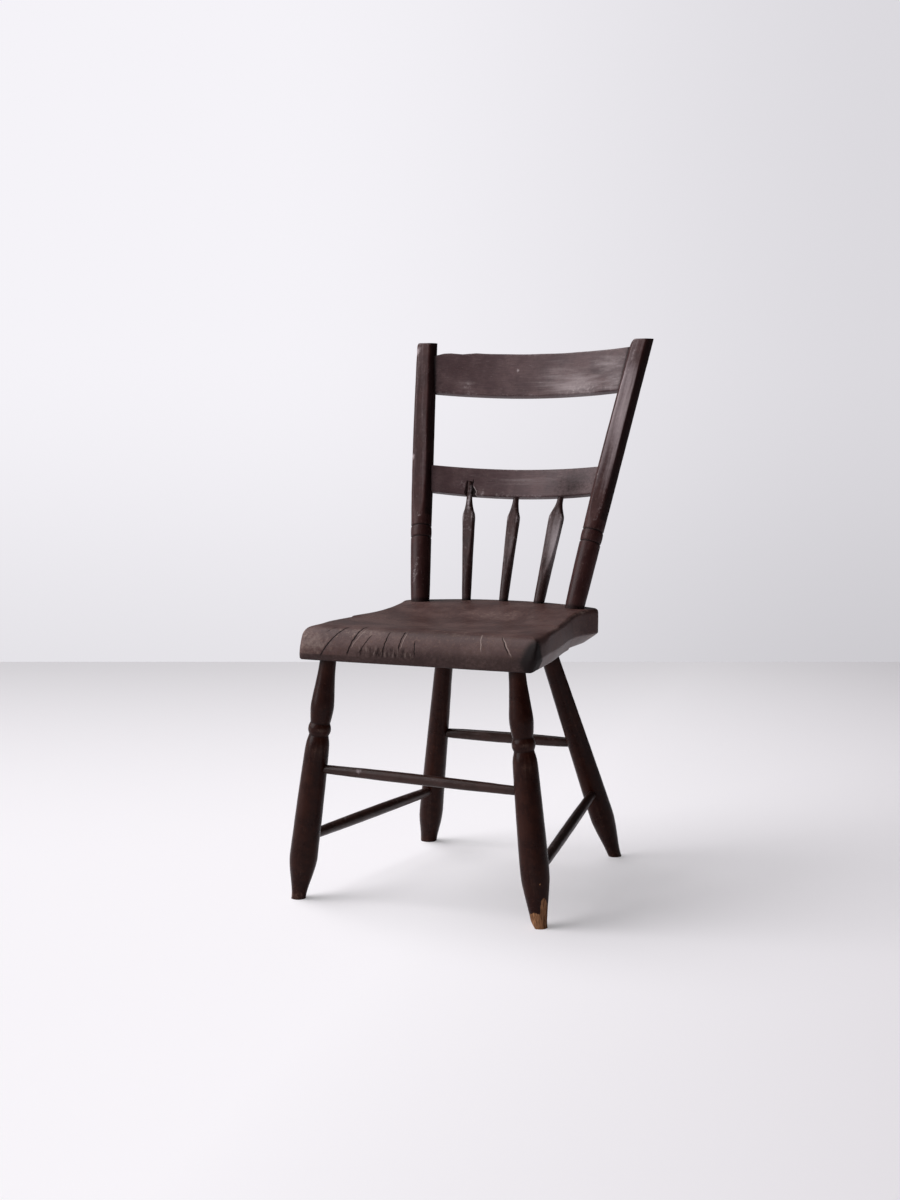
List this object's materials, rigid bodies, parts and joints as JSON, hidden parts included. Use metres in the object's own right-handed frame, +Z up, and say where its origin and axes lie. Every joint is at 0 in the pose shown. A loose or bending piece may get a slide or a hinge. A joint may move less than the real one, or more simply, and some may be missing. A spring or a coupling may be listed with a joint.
{
  "type": "side chair",
  "caption": "Old wooden side chair with a hollowed plank seat, turned legs and stretchers, leaning flat-faced posts, a crest rail and arrow spindles, in worn dark brown paint.",
  "frame": {"origin": "centre of the bounding box's bottom face, on the floor between the four feet", "axes": "+Z up, -Y toward the front of the chair, +X to the right of someone who looks at its front"},
  "size_m": [0.429, 0.5304, 0.8709],
  "materials": {
    "seat_wood": "worn satin brown paint, cracked and flaking at the front edge",
    "post_wood": "worn satin brown paint, rubbed pale on the front faces",
    "rail_wood": "worn brown paint, greyed and patchy",
    "spindle_wood": "worn satin brown paint",
    "leg_wood": "worn satin brown paint, bare wood at one broken toe",
    "stretcher_wood": "worn satin brown paint"
  },
  "bodies": {
    "root": {"seat": "seat_wood", "left_back_post": "post_wood", "right_back_post": "post_wood", "crest_rail": "rail_wood", "lower_back_rail": "rail_wood", "left_arrow_spindle": "spindle_wood", "middle_arrow_spindle": "spindle_wood", "right_arrow_spindle": "spindle_wood", "front_left_leg": "leg_wood", "front_right_leg": "leg_wood", "rear_left_leg": "leg_wood", "rear_right_leg": "leg_wood", "front_stretcher": "stretcher_wood", "rear_stretcher": "stretcher_wood", "left_side_stretcher": "stretcher_wood", "right_side_stretcher": "stretcher_wood"}
  },
  "joints": []
}
